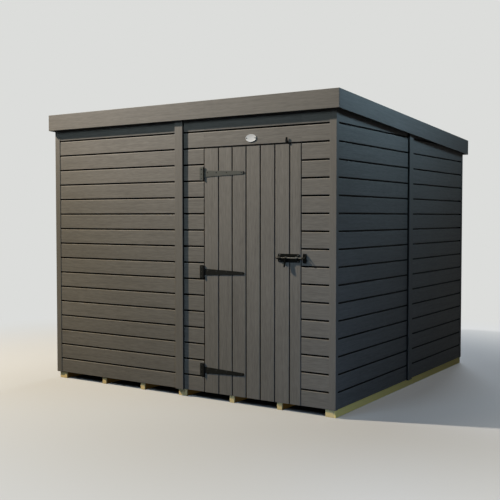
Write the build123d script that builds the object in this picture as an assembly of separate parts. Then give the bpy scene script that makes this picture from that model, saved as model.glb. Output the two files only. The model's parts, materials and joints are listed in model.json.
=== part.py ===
from build123d import *
import os

# Composite pent shed, in millimetres.
# The origin is the centre of the footprint on the ground, +Z is up,
# the front with the door faces -Y and the door is right of the middle, at +X.

# Body: outer faces of the wall boards
width = 2432
depth = 2354
board_pitch = 112            # cover of one wall board; edges of boards fall on multiples of it
wall_board_thick = 18
first_joint_height = 1950    # highest joint between wall boards

# Ground frame and floor
bearer_height = 48
bearer_setback = 8           # bearer ends behind the outer face of the wall boards
outer_bearer_width = 72
left_bearer_inset = 19       # outer face of the left bearer inside the wall's outer face
right_bearer_inset = 2
inner_bearers = [(-733, 38), (-356, 38), (13, 70), (431, 38), (806, 38)]    # centre and width
floor_thick = 12

# Wall framing
stud_depth = 36
stud_width = 36
timber_fit = 0.5             # sawn joint left between timbers that meet at a corner

# Roof
fascia_depth = 120
fascia_thick = 15
roof_overhang = 38           # outer face of the fascia beyond the wall boards
fascia_rise = 90             # top of the front fascia above the highest joint
roof_slope = 0.054           # fall per unit of depth, to the back
covering_drop = 5            # roof covering below the top edge of the fascia
covering_thick = 3
deck_thick = 12
rafter_depth = 47
rafter_width = 32
rafter_count = 5

# Cover trims
batten_width = 69
batten_thick = 16.5
trim_thick = 3
trim_front_leg = 45
trim_side_leg = 30

# Doorway and door
door_gap = 6                 # running gap round the door and behind it
doorway_left = 205
doorway_right = 972
doorway_joints_down = 2      # the doorway's head is on this joint between wall boards
door_board_thick = 12
door_foot_gap = 2            # door's foot above the foot of the wall boards
post_rebate = 12             # how far the posts and the head show inside the doorway
ledge_width = 70
ledge_thick = 20
ledge_end_margin = 110       # centre of the end ledges from the door's top and foot
door_head_depth = 70

# T hinges
hinge_joints_down = [3.58, 9.56, 15.6]    # centres, in boards below the highest joint
hinge_plate_height = 90
hinge_plate_width = 31
hinge_metal = 3
hinge_corner_radius = 5
knuckle_radius = 4.5
hinge_pin_radius = 2.2
hinge_pin_play = 0.05
knuckle_end_gap = 0.6        # also from the turning knuckle to the wall plate
knuckle_face_gap = 0.3       # knuckle to the wall's face
strap_length = 329           # hinge axis to the strap's tip
strap_root_width = 44
strap_tip_width = 20
strap_tip_taper = 7

# Sliding bolt and its keep
bolt_joints_down = 8.56
bolt_plate_left = 798
bolt_plate_length = 162
bolt_plate_height = 55
bolt_metal = 2.5
bolt_corner_radius = 8
bolt_radius = 6
bolt_play = 0.05
bolt_standoff = 11           # bolt axis from the face of its plate
bolt_tail = 11               # bolt beyond the plate at its free end
bolt_tip_length = 8
bolt_end_chamfer = 1.2
guide_wall = 4
guide_width = 18
guide_inset = 8
lever_reach = 60             # bolt axis to the lever's end
lever_width = 14
lever_thick = 4
lever_lean = 8               # degrees out from straight down, on its stop
lever_tilt = 8               # degrees from square to the bolt, towards its free end
lever_hub_width = 12
lever_hub_wall = 3.5
lever_place = 66             # centre of the lever from the plate's free end
keep_metal = 4
keep_inset = 10              # keep's foot beside the doorway
keep_width = 27
keep_height = 60
keep_ear_radius = 11.5       # round end of the keep's flange, about the bolt
keep_corner_radius = 6
keep_play = 1.5
keep_gap = 5.5               # keep's flange to the drawn bolt

# Turn button over the door
button_left = 865
button_pivot_rise = 9        # pivot above the doorway's head
button_standoff = 6
button_thick = 4
button_root_radius = 9
button_tip_radius = 6
button_reach = 23            # pivot to the centre of the tip
button_boss_radius = 6
button_seat_gap = 0.3

# Worked out from the sizes above
front_height = first_joint_height + fascia_rise
half_width = width / 2
half_depth = depth / 2
front_face = -half_depth
wall_foot = bearer_height
floor_top = bearer_height + floor_thick
roof_half_width = half_width + roof_overhang
roof_half_depth = half_depth + roof_overhang
deck_drop = covering_drop + covering_thick + deck_thick
rafter_drop = deck_drop + rafter_depth
clad_half_width = half_width - wall_board_thick
clad_half_depth = half_depth - wall_board_thick
frame_half_width = clad_half_width - stud_depth
frame_half_depth = clad_half_depth - stud_depth
doorway_head = first_joint_height - doorway_joints_down * board_pitch
post_inner_left = doorway_left + post_rebate
post_inner_right = doorway_right - post_rebate
post_outer_left = post_inner_left - stud_width
post_outer_right = post_inner_right + stud_width
ledge_left = post_inner_left + door_gap
ledge_right = post_inner_right - door_gap
door_left = doorway_left + door_gap
door_right = doorway_right - door_gap
door_top = doorway_head - door_gap
door_foot = wall_foot + door_foot_gap
door_back = front_face + door_board_thick
hinge_axis_x = door_left - door_gap / 2
hinge_axis_y = front_face - knuckle_radius - knuckle_face_gap
bolt_height = first_joint_height - bolt_joints_down * board_pitch
bolt_axis_y = front_face - bolt_metal - bolt_standoff
bolt_plate_right = bolt_plate_left + bolt_plate_length
keep_left = doorway_right + keep_inset
keep_right = keep_left + keep_width
bolt_end = keep_right - keep_metal - keep_gap


def top_at(y, drop=0):
    """Height of the roof's top edge at y, less a drop."""
    return front_height - roof_slope * (y + roof_half_depth) - drop


def block(x0, x1, y0, y1, z0, z1):
    return Pos((x0 + x1) / 2, (y0 + y1) / 2, (z0 + z1) / 2) * Box(x1 - x0, y1 - y0, z1 - z0)


def side_prism(outline, x0, x1):
    """An outline of (y, z) points, carried along X."""
    face = make_face(Plane.YZ.offset(x0) * Polyline(*outline, close=True))
    return extrude(face, x1 - x0)


def front_prism(outline, y0, y1):
    """An outline of (x, z) points, carried along Y."""
    points = [(x, y0, z) for x, z in outline]
    return extrude(make_face(Polyline(*points, close=True)), y1 - y0, dir=(0, 1, 0))


def sloped_block(x0, x1, y0, y1, foot, drop):
    """A level foot and a top that follows the roof, a drop below its edge."""
    return side_prism([(y0, foot), (y1, foot), (y1, top_at(y1, drop)), (y0, top_at(y0, drop))], x0, x1)


def roof_layer(x0, x1, y0, y1, drop, thick):
    """A layer parallel to the roof."""
    outline = [(y0, top_at(y0, drop + thick)), (y1, top_at(y1, drop + thick)),
               (y1, top_at(y1, drop)), (y0, top_at(y0, drop))]
    return side_prism(outline, x0, x1)


def rod_z(x, y, z0, z1, radius):
    return Pos(x, y, (z0 + z1) / 2) * Cylinder(radius, z1 - z0)


def rod_x(x0, x1, y, z, radius):
    return Pos((x0 + x1) / 2, y, z) * Rot(0, 90, 0) * Cylinder(radius, x1 - x0)


def make_bearers():
    """Seven timbers on the ground, from front to back; the middle one is under the floor's joint."""
    left = left_bearer_inset + outer_bearer_width / 2 - half_width
    right = half_width - right_bearer_inset - outer_bearer_width / 2
    places = [(left, outer_bearer_width), *inner_bearers, (right, outer_bearer_width)]
    end = half_depth - bearer_setback
    return [block(x - w / 2, x + w / 2, -end, end, 0, bearer_height) for x, w in places]


def make_floor(x0, x1):
    return block(x0, x1, -clad_half_depth, clad_half_depth, bearer_height, floor_top)


def make_front_wall(x0, x1, foot):
    """Wall boards of the front; their level top is under the roof deck."""
    head = top_at(front_face + wall_board_thick, deck_drop)
    return block(x0, x1, front_face, front_face + wall_board_thick, foot, head)


def make_back_wall(x0, x1):
    head = top_at(half_depth, deck_drop)
    return block(x0, x1, half_depth - wall_board_thick, half_depth, wall_foot, head)


def make_side_wall(side, y0, y1):
    """Wall boards of one side, +1 right or -1 left, cut to the slope at the top."""
    x0, x1 = sorted((side * clad_half_width, side * half_width))
    return sloped_block(x0, x1, y0, y1, wall_foot, deck_drop)


def make_sole_plates():
    """Lowest timbers of the framing, on the floor, open between the door posts."""
    top = floor_top + stud_width
    inner = frame_half_depth - timber_fit
    plates = [block(-clad_half_width, post_outer_left - timber_fit, -clad_half_depth, -frame_half_depth,
                    floor_top, top),
              block(post_outer_right + timber_fit, clad_half_width, -clad_half_depth, -frame_half_depth,
                    floor_top, top),
              block(-clad_half_width, clad_half_width, frame_half_depth, clad_half_depth, floor_top, top)]
    for side in (-1, 1):
        x0, x1 = sorted((side * frame_half_width, side * clad_half_width))
        plates.append(block(x0, x1, -inner, inner, floor_top, top))
    return plates


def make_top_plates():
    """Highest timbers: the front and back ones carry the rafters."""
    inner = frame_half_depth - timber_fit
    plates = []
    for y0, y1 in ((-clad_half_depth, -frame_half_depth), (frame_half_depth, clad_half_depth)):
        plates.append(roof_layer(-clad_half_width, clad_half_width, y0, y1, rafter_drop, stud_width))
    for side in (-1, 1):
        x0, x1 = sorted((side * frame_half_width, side * clad_half_width))
        plates.append(roof_layer(x0, x1, -inner, inner, deck_drop, stud_width))
    return plates


def make_side_studs(side):
    """Upright timbers of one side: one at each end, one behind the batten and one in each bay."""
    x0, x1 = sorted((side * frame_half_width, side * clad_half_width))
    end = frame_half_depth - stud_width / 2 - timber_fit
    studs = []
    for y in (-end, -end / 2, 0, end / 2, end):
        studs.append(sloped_block(x0, x1, y - stud_width / 2, y + stud_width / 2,
                                  floor_top + stud_width, deck_drop + stud_width))
    return studs


def make_cross_studs(y0, y1, places):
    """Upright timbers of the front or the back."""
    foot = floor_top + stud_width
    drop = rafter_drop + stud_width
    return [sloped_block(x - stud_width / 2, x + stud_width / 2, y0, y1, foot, drop) for x in places]


def make_back_studs():
    end = clad_half_width - stud_width / 2
    return make_cross_studs(frame_half_depth, clad_half_depth, (-end, -end / 2, 0, end / 2, end))


def make_front_studs():
    """Front studs, with the two door posts that stand on the floor beside the doorway."""
    end = clad_half_width - stud_width / 2
    studs = make_cross_studs(-clad_half_depth, -frame_half_depth, (-end, -end / 2, 0, end))
    for x0, x1 in ((post_outer_left, post_inner_left), (post_inner_right, post_outer_right)):
        studs.append(sloped_block(x0, x1, -clad_half_depth, -frame_half_depth,
                                  floor_top, rafter_drop + stud_width))
    return studs


def make_door_head():
    """Timber over the doorway, between the posts."""
    foot = doorway_head - post_rebate
    return block(post_inner_left, post_inner_right, -clad_half_depth, -frame_half_depth,
                 foot, foot + door_head_depth)


def make_rafters():
    """Timbers under the roof deck, from the front wall to the back wall."""
    step = width / (rafter_count + 1)
    rafters = []
    for place in range(rafter_count):
        x = -half_width + step * (place + 1)
        rafters.append(roof_layer(x - rafter_width / 2, x + rafter_width / 2,
                                  -clad_half_depth, clad_half_depth, deck_drop, rafter_depth))
    return rafters


def make_deck():
    edge_x = roof_half_width - fascia_thick
    edge_y = roof_half_depth - fascia_thick
    return roof_layer(-edge_x, edge_x, -edge_y, edge_y, covering_drop + covering_thick, deck_thick)


def make_covering():
    edge_x = roof_half_width - fascia_thick
    edge_y = roof_half_depth - fascia_thick
    return roof_layer(-edge_x, edge_x, -edge_y, edge_y, covering_drop, covering_thick)


def make_cross_fascia(y0, y1):
    """Front or back fascia, over the full width, its top on the roof's slope."""
    return roof_layer(-roof_half_width, roof_half_width, y0, y1, 0, fascia_depth)


def make_side_fascia(side):
    x0, x1 = sorted((side * (roof_half_width - fascia_thick), side * roof_half_width))
    edge_y = roof_half_depth - fascia_thick
    return roof_layer(x0, x1, -edge_y, edge_y, 0, fascia_depth)


def make_cross_batten(end):
    """Cover batten over the middle joint of the front, end -1, or the back, end +1."""
    y0, y1 = sorted((end * half_depth, end * (half_depth + batten_thick)))
    return sloped_block(-batten_width / 2, batten_width / 2, y0, y1, wall_foot, deck_drop)


def make_side_batten(side):
    x0, x1 = sorted((side * half_width, side * (half_width + batten_thick)))
    return sloped_block(x0, x1, -batten_width / 2, batten_width / 2, wall_foot, deck_drop)


def make_corner_trim(side, end):
    """L-shaped trim over one corner; side is +1 right or -1 left, end is -1 front or +1 back."""
    corner_x = side * half_width
    corner_y = end * half_depth
    x0, x1 = sorted((corner_x - side * trim_front_leg, corner_x + side * trim_thick))
    y0, y1 = sorted((corner_y, corner_y + end * trim_thick))
    front_leg = sloped_block(x0, x1, y0, y1, wall_foot, deck_drop)
    x0, x1 = sorted((corner_x, corner_x + side * trim_thick))
    y0, y1 = sorted((corner_y - end * trim_side_leg, corner_y + end * trim_thick))
    return front_leg + sloped_block(x0, x1, y0, y1, wall_foot, deck_drop)


def ledge_heights():
    """Centres of the three ledges on the back of the door."""
    low = door_foot + ledge_end_margin
    high = door_top - ledge_end_margin
    return (low, (low + high) / 2, high)


def make_door_panel():
    return block(door_left, door_right, front_face, door_back, door_foot, door_top)


def make_ledge(height):
    return block(ledge_left, ledge_right, door_back, door_back + ledge_thick,
                 height - ledge_width / 2, height + ledge_width / 2)


def make_brace(low, high):
    """Slanted brace between two ledges: it rises from the hinged edge to the free edge."""
    foot = low + ledge_width / 2
    head = high - ledge_width / 2
    outline = [(ledge_left, foot), (ledge_left + ledge_width, foot), (ledge_right, head),
               (ledge_right - ledge_width, head)]
    return front_prism(outline, door_back, door_back + ledge_thick)


def hinge_height(joints_down):
    return first_joint_height - joints_down * board_pitch


def make_hinge_plate(height):
    """Wall plate of a T hinge: two knuckles with the pin between them."""
    half = hinge_plate_height / 2
    edge = hinge_axis_x - knuckle_radius - knuckle_end_gap
    plate = block(edge - hinge_plate_width, edge, front_face - hinge_metal, front_face,
                  height - half, height + half)
    plate = fillet(plate.edges().filter_by(Axis.Y).group_by(Axis.X)[0], hinge_corner_radius)
    gap = strap_root_width / 2 + knuckle_end_gap
    for z0, z1 in ((height - half, height - gap), (height + gap, height + half)):
        plate += block(edge, hinge_axis_x, front_face - knuckle_face_gap - hinge_metal,
                       front_face - knuckle_face_gap, z0, z1)
        plate += rod_z(hinge_axis_x, hinge_axis_y, z0, z1, knuckle_radius)
    return plate + rod_z(hinge_axis_x, hinge_axis_y, height - half, height + half, hinge_pin_radius)


def make_hinge_strap(height):
    """Long tapered strap of a T hinge, on the door, with the middle knuckle."""
    root = strap_root_width / 2
    tip = strap_tip_width / 2
    start = door_left
    end = hinge_axis_x + strap_length
    outline = [(start, height - root), (end - strap_tip_taper, height - tip),
               (end, height - tip / 3), (end, height + tip / 3),
               (end - strap_tip_taper, height + tip), (start, height + root)]
    strap = front_prism(outline, front_face - hinge_metal, front_face)
    strap += block(hinge_axis_x, start, front_face - knuckle_face_gap - hinge_metal,
                   front_face - knuckle_face_gap, height - root, height + root)
    strap += rod_z(hinge_axis_x, hinge_axis_y, height - root, height + root, knuckle_radius)
    return strap - rod_z(hinge_axis_x, hinge_axis_y, height - root, height + root,
                         hinge_pin_radius + hinge_pin_play)


def make_bolt_plate():
    """Base plate of the bolt with its two guides."""
    half = bolt_plate_height / 2
    plate = block(bolt_plate_left, bolt_plate_right, front_face - bolt_metal, front_face,
                  bolt_height - half, bolt_height + half)
    plate = fillet(plate.edges().filter_by(Axis.Y), bolt_corner_radius)
    outer = bolt_radius + guide_wall
    for x0 in (bolt_plate_left + guide_inset, bolt_plate_right - guide_inset - guide_width):
        x1 = x0 + guide_width
        plate += block(x0, x1, bolt_axis_y, front_face - bolt_metal, bolt_height - outer, bolt_height + outer)
        plate += rod_x(x0, x1, bolt_axis_y, bolt_height, outer)
        plate -= rod_x(x0, x1, bolt_axis_y, bolt_height, bolt_radius + bolt_play)
    return plate


def make_bolt_shaft():
    """Round bolt with a pointed free end, drawn clear of the keep."""
    x0 = bolt_plate_left - bolt_tail
    shaft = rod_x(x0 + bolt_tip_length, bolt_end, bolt_axis_y, bolt_height, bolt_radius)
    shaft = chamfer(shaft.edges().filter_by(GeomType.CIRCLE).group_by(Axis.X)[-1], bolt_end_chamfer)
    tip = Pos(x0 + bolt_tip_length / 2, bolt_axis_y, bolt_height) * Rot(0, -90, 0)
    return shaft + tip * Cone(bolt_radius, bolt_radius / 3, bolt_tip_length)


def make_bolt_lever():
    """Flat lever that hangs from the bolt by a ring, square to the door, leaning out on its stop."""
    hub = bolt_radius + lever_hub_wall
    end = lever_reach - lever_width / 2
    blade = Pos(0, 0, -end / 2) * Box(lever_thick, lever_width, end)
    blade += Pos(0, 0, -end) * Rot(0, 90, 0) * Cylinder(lever_width / 2, lever_thick)
    lever = Rot(0, lever_tilt, 0) * blade + Rot(0, 90, 0) * Cylinder(hub, lever_hub_width)
    lever -= Rot(0, 90, 0) * Cylinder(bolt_radius + bolt_play, 2 * lever_hub_width)
    return Pos(bolt_plate_left + lever_place, bolt_axis_y, bolt_height) * Rot(-lever_lean, 0, 0) * lever


def make_bolt_keep():
    """Angle on the wall beside the doorway; the bolt goes through the ear of its flange."""
    half = keep_height / 2
    low, high = bolt_height - half, bolt_height + half
    foot = block(keep_left, keep_right, front_face - bolt_metal, front_face, low, high)
    foot = fillet(foot.edges().filter_by(Axis.Y).group_by(Axis.X)[0], keep_corner_radius)
    root = Line((front_face, low), (front_face, high))
    ear = CenterArc((bolt_axis_y, bolt_height), keep_ear_radius, 0, 360)
    side = Plane.YZ.offset(keep_right - keep_metal)
    flange = extrude(side * make_hull([root.edge(), ear.edge()]), keep_metal)
    hole = rod_x(keep_left, keep_right + keep_metal, bolt_axis_y, bolt_height, bolt_radius + keep_play)
    return foot + flange - hole


def make_turn_button():
    """Turn button on the wall over the door, turned up and clear of the door."""
    z = doorway_head + button_pivot_rise
    tip = z + button_reach
    outline = [(button_left - button_root_radius, z), (button_left + button_root_radius, z),
               (button_left + button_tip_radius, tip), (button_left - button_tip_radius, tip)]
    back = front_face - button_standoff
    button = front_prism(outline, back - button_thick, back)
    turned = Rot(90, 0, 0)
    middle = back - button_thick / 2
    button += Pos(button_left, middle, z) * turned * Cylinder(button_root_radius, button_thick)
    button += Pos(button_left, middle, tip) * turned * Cylinder(button_tip_radius, button_thick)
    boss = button_standoff - button_seat_gap
    boss_middle = front_face - button_seat_gap - boss / 2
    return button + Pos(button_left, boss_middle, z) * turned * Cylinder(button_boss_radius, boss)


ledge_low, ledge_mid, ledge_high = ledge_heights()
parts = {
    "bearers": make_bearers(),
    "floor_left": make_floor(-clad_half_width, 0),
    "floor_right": make_floor(0, clad_half_width),
    "front_wall_left": make_front_wall(-half_width, 0, wall_foot),
    "front_wall_beside_hinges": make_front_wall(0, doorway_left, wall_foot),
    "front_wall_over_door": make_front_wall(doorway_left, doorway_right, doorway_head),
    "front_wall_beside_bolt": make_front_wall(doorway_right, half_width, wall_foot),
    "right_wall_front": make_side_wall(1, -clad_half_depth, 0),
    "right_wall_back": make_side_wall(1, 0, clad_half_depth),
    "left_wall_front": make_side_wall(-1, -clad_half_depth, 0),
    "left_wall_back": make_side_wall(-1, 0, clad_half_depth),
    "back_wall_left": make_back_wall(-half_width, 0),
    "back_wall_right": make_back_wall(0, half_width),
    "sole_plates": make_sole_plates(),
    "top_plates": make_top_plates(),
    "front_studs": make_front_studs(),
    "right_studs": make_side_studs(1),
    "left_studs": make_side_studs(-1),
    "back_studs": make_back_studs(),
    "door_head": make_door_head(),
    "rafters": make_rafters(),
    "roof_deck": make_deck(),
    "roof_covering": make_covering(),
    "fascia_front": make_cross_fascia(-roof_half_depth, -roof_half_depth + fascia_thick),
    "fascia_back": make_cross_fascia(roof_half_depth - fascia_thick, roof_half_depth),
    "fascia_right": make_side_fascia(1),
    "fascia_left": make_side_fascia(-1),
    "front_batten": make_cross_batten(-1),
    "back_batten": make_cross_batten(1),
    "right_batten": make_side_batten(1),
    "left_batten": make_side_batten(-1),
    "corner_trim_front_right": make_corner_trim(1, -1),
    "corner_trim_front_left": make_corner_trim(-1, -1),
    "corner_trim_back_right": make_corner_trim(1, 1),
    "corner_trim_back_left": make_corner_trim(-1, 1),
    "door_panel": make_door_panel(),
    "door_ledge_bottom": make_ledge(ledge_low),
    "door_ledge_middle": make_ledge(ledge_mid),
    "door_ledge_top": make_ledge(ledge_high),
    "door_brace_lower": make_brace(ledge_low, ledge_mid),
    "door_brace_upper": make_brace(ledge_mid, ledge_high),
    "hinge_plates": [make_hinge_plate(hinge_height(down)) for down in hinge_joints_down],
    "hinge_straps": [make_hinge_strap(hinge_height(down)) for down in hinge_joints_down],
    "bolt_plate": make_bolt_plate(),
    "bolt_shaft": make_bolt_shaft(),
    "bolt_lever": make_bolt_lever(),
    "bolt_keep": make_bolt_keep(),
    "turn_button": make_turn_button(),
}

os.makedirs("parts", exist_ok=True)
for name, shape in parts.items():
    solids = shape if isinstance(shape, list) else [shape]
    node = Compound(children=[Solid(solid.solid().wrapped) for solid in solids])
    node.label = name
    export_step(node, f"parts/{name}.step")
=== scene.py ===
# %% [markdown]
# ## A pent shed clad in composite boards
# The real shed is a timber frame on treated bearers, clad with grey wood-plastic composite
# boards, with a board door on black T hinges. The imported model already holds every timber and
# every fitting at its real size. This lesson dresses it: boards with real joints between them,
# softened arrises, screws, and a finish for each material.

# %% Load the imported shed
import json
import math
import random

import bmesh
import bpy
from mathutils import Matrix, Vector

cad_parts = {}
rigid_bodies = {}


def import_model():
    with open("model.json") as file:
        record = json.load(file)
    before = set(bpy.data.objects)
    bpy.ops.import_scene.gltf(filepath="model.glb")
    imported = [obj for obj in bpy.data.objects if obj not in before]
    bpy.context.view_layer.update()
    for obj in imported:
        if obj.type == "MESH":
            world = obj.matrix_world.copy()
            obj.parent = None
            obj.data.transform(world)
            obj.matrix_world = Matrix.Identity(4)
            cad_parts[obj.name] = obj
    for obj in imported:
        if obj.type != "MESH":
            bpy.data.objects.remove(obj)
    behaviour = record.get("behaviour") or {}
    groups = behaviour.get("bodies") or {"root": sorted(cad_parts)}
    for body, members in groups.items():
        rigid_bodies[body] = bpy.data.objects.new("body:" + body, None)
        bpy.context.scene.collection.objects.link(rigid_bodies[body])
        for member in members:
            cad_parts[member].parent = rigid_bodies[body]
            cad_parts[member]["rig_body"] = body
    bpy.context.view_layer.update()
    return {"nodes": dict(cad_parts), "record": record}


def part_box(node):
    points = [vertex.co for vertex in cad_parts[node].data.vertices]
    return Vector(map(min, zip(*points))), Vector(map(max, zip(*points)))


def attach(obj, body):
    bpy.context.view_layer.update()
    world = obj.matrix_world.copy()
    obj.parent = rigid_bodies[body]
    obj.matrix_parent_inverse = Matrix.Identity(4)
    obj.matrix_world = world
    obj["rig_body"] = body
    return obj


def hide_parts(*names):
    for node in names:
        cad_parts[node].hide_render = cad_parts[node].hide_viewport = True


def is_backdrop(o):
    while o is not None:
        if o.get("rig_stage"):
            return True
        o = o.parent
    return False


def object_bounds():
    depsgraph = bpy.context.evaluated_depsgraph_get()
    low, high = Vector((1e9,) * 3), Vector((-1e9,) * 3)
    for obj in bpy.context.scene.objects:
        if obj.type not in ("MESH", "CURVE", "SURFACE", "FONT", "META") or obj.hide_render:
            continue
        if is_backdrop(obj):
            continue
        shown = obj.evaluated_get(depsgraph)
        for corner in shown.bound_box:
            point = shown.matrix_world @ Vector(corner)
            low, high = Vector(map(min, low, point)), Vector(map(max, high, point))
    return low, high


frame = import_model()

MM = 0.001

# %% [markdown]
# ## Camera
# The photograph was taken at a person's chest height, from the front right. Its place and lens
# were worked out from the straight joints between the wall boards, which are 112 mm apart.
# Blender's camera looks down its own -Z, so a tilt of 90 degrees makes it level.

# %% Camera
CAMERA_PLACE = (3.523, -5.690, 1.251)
CAMERA_TURN = 33.09  # degrees, from looking straight at the front towards its left
CAMERA_DIP = 2.275  # degrees below level
LENS = 58.81  # millimetres, as is the sensor's width
SENSOR_WIDTH = 36

camera = bpy.data.objects.new("camera", bpy.data.cameras.new("camera"))
bpy.context.scene.collection.objects.link(camera)
camera.location = CAMERA_PLACE
camera.rotation_euler = (math.radians(90 - CAMERA_DIP), 0, math.radians(CAMERA_TURN))
camera.data.lens = LENS
camera.data.sensor_width = SENSOR_WIDTH
camera.data.sensor_fit = "HORIZONTAL"
bpy.context.scene.camera = camera
print("camera:", CAMERA_PLACE, "lens", LENS)

# %% [markdown]
# ## Helpers for materials
# Colours are written as sRGB hex values, as a paint chart gives them, but shader nodes take
# linear colours, so one function converts them. Another adds a node, sets its properties and
# links or sets its inputs in one go, which keeps each material readable from top to bottom.
# A zone is a box on the shed where a finish differs, such as the rubbed top of a bolt. It could
# be painted by hand, but places in metres are exact and serve every piece.

# %% Helpers for materials
# Settings that many nodes share
MULTIPLY = {"operation": "MULTIPLY"}
MULTIPLY_ADD = {"operation": "MULTIPLY_ADD"}
SUBTRACT = {"operation": "SUBTRACT"}
MAXIMUM = {"operation": "MAXIMUM"}
SMOOTH = {"interpolation_type": "SMOOTHSTEP"}
COLOURS = {"data_type": "RGBA"}
# The numbers of a Mix node's sockets for colours
FACTOR, UNDER, OVER, MIXED = 0, 6, 7, 2


def linear(hex_code):
    """The linear colour of an sRGB hex value."""
    parts = [int(hex_code[i:i + 2], 16) / 255 for i in (1, 3, 5)]
    return [p / 12.92 if p <= 0.04045 else ((p + 0.055) / 1.055) ** 2.4 for p in parts] + [1]


def set_inputs(tree, node, inputs):
    """Sets a node's inputs; an output is linked, and of another node its first output is."""
    for name, value in inputs.items():
        if isinstance(value, bpy.types.Node):
            value = value.outputs[0]
        if isinstance(value, bpy.types.NodeSocket):
            tree.links.new(value, node.inputs[name])
        else:
            node.inputs[name].default_value = value


def add(tree, kind, settings={}, inputs={}):
    """Adds a node with its settings and its inputs."""
    node = tree.nodes.new("ShaderNode" + kind)
    for name, value in settings.items():
        setattr(node, name, value)
    set_inputs(tree, node, inputs)
    return node


def new_material(name):
    """An empty material; returns it, its node tree and its Principled shader."""
    material = bpy.data.materials.new(name)
    material.use_nodes = True
    tree = material.node_tree
    return material, tree, tree.nodes["Principled BSDF"]


def place_parts(tree):
    """The X, Y and Z of a place on the shed, in metres."""
    return add(tree, "SeparateXYZ", {}, {0: add(tree, "TexCoord").outputs["Object"]}).outputs


def within(tree, limits):
    """1 inside a zone and 0 outside; a limit is an axis, where it starts and where it is full."""
    place = place_parts(tree)
    inside = 1
    for axis, start, full in limits:
        here = add(tree, "MapRange", {},
                   {"Value": place[axis], "From Min": start, "From Max": full})
        inside = add(tree, "Math", MULTIPLY, {0: inside, 1: here})
    return inside


def about_middle(x_limit, y_limit):
    """Limits of a zone about the shed's middle; each is where it starts and where it is full."""
    return [(axis, side * start, side * full)
            for axis, (start, full) in (("X", x_limit), ("Y", y_limit)) for side in (-1, 1)]


def paint_zones(tree, colour, zones):
    """A colour that gives way to another in each zone; zones pairs hex values with limits."""
    for hex_code, limits in zones:
        colour = add(tree, "Mix", COLOURS, {FACTOR: within(tree, limits), UNDER: colour,
                                            OVER: linear(hex_code)}).outputs[MIXED]
    return colour


print("sRGB #808080 is", round(linear("#808080")[0], 3), "in linear light")

# %% [markdown]
# ## Light and backdrop
# The photograph's sun stands high to the front left, so the front is warm and bright and the
# right side lies in cool, dim light from the sky. A Sun lamp would light the front evenly, but in
# the photograph the light fades from the top left to the foot. So two near lamps in one place
# stand in for the sun: a warm square one for the whole front, and a cooler cone on its top left.
# The sky is a square lamp in front and a cone beside the right side, which points up so that its
# soft edge fades down the side. A low cone is light thrown back from the ground at the corner,
# and the back lamp serves the view of the back. A weak blue world lights what no lamp reaches.
# The backdrop is pale only for the camera and for reflections, so it puts no light on the shed.

# %% Light and backdrop
BACKDROP = "#DCDDDB"
SKY_FILL = (0.0112, 0.0170, 0.0245, 1)
SUN_PLACE = (-5.5, -3.5, 6.25)
# name: place, aim, width, power, colour, cone in degrees (None for a square lamp without one)
LAMPS = {
    "sun lamp": (SUN_PLACE, (0.3, -1.2, 0.9), 0.3, 1160, (1, 0.83, 0.585), None),
    "sun spot": (SUN_PLACE, (-2.27, -1.2, 4.26), 0.3, 7900, (0.857, 0.874, 1), 41.7),
    "front sky lamp": ((0.0, -4.4, 3.7), (0.0, -1.2, 1.2), 1.6, 65, (0.647, 0.844, 1), None),
    "side sky spot": ((3.1, -0.55, 3.5), (1.25, -0.55, 4.06), 1.0, 760, (0.445, 0.71, 1), 157),
    "corner bounce": ((2.9, -3.4, 0.3), (1.0, -1.18, 0.2), 0.8, 140, (0.382, 0.605, 1), 60),
    "back lamp": ((-1.0, 6.5, 4.5), (0.0, 1.2, 0.9), 3.0, 420, (0.80, 0.90, 1.0), None),
}


def seen_directly(tree):
    """1 for camera, glossy and transmission rays, 0 for rays that carry light between surfaces."""
    path = add(tree, "LightPath").outputs
    seen = add(tree, "Math", MAXIMUM, {0: path["Is Camera Ray"], 1: path["Is Glossy Ray"]})
    return add(tree, "Math", MAXIMUM, {0: seen, 1: path["Is Transmission Ray"]})


world = bpy.data.worlds.new("studio")
bpy.context.scene.world = world
world.use_nodes = True
sky = world.node_tree
sky_colour = add(sky, "Mix", COLOURS,
                 {FACTOR: seen_directly(sky), UNDER: SKY_FILL, OVER: linear(BACKDROP)})
set_inputs(sky, sky.nodes["Background"], {"Color": sky_colour.outputs[MIXED]})

for name, (place, aim, width, power, colour, cone) in LAMPS.items():
    lamp = bpy.data.objects.new(name, bpy.data.lights.new(name, "SPOT" if cone else "AREA"))
    bpy.context.scene.collection.objects.link(lamp)
    lamp.data.energy = power
    lamp.data.color = colour
    if cone:
        lamp.data.spot_size = math.radians(cone)
        lamp.data.spot_blend = 1
        lamp.data.shadow_soft_size = width / 2
    else:
        lamp.data.size = width
    lamp.location = place
    lamp.rotation_euler = (Vector(aim) - Vector(place)).to_track_quat("-Z", "Y").to_euler()
    lamp.visible_camera = False
print("lamps:", len(LAMPS))

# %% [markdown]
# ## Floor
# A pale floor would throw more light up at the shed than the photograph shows, so this one is
# pale to the camera and dark to the rays that carry light. With distance it glows in the
# backdrop's colour, which hides the horizon. A small part of that glow stays near the shed and
# lifts its shadow. The ground under the shed doesn't glow, and further in it gets a dark brown
# painted shade.

# %% Floor
FLOOR_RADIUS = 40
FLOOR_SIDES = 64
FLOOR_SEEN = "#A9ABAE"
FLOOR_AS_LIGHT = "#1F2530"
# dark brown painted shade on the floor under the shed
UNDER_SHED_SHADE = "#241D15"
FLOOR_FADE = (1.8, 4.5)  # metres from the shed's middle where the glow grows
FLOOR_GLOW = 0.15  # share of the glow nearer than that
UNDER_SHED = about_middle((1.225, 1.195), (1.175, 1.145))
FAR_UNDER = about_middle((1.18, 1.12), (1.14, 1.08))

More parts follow.
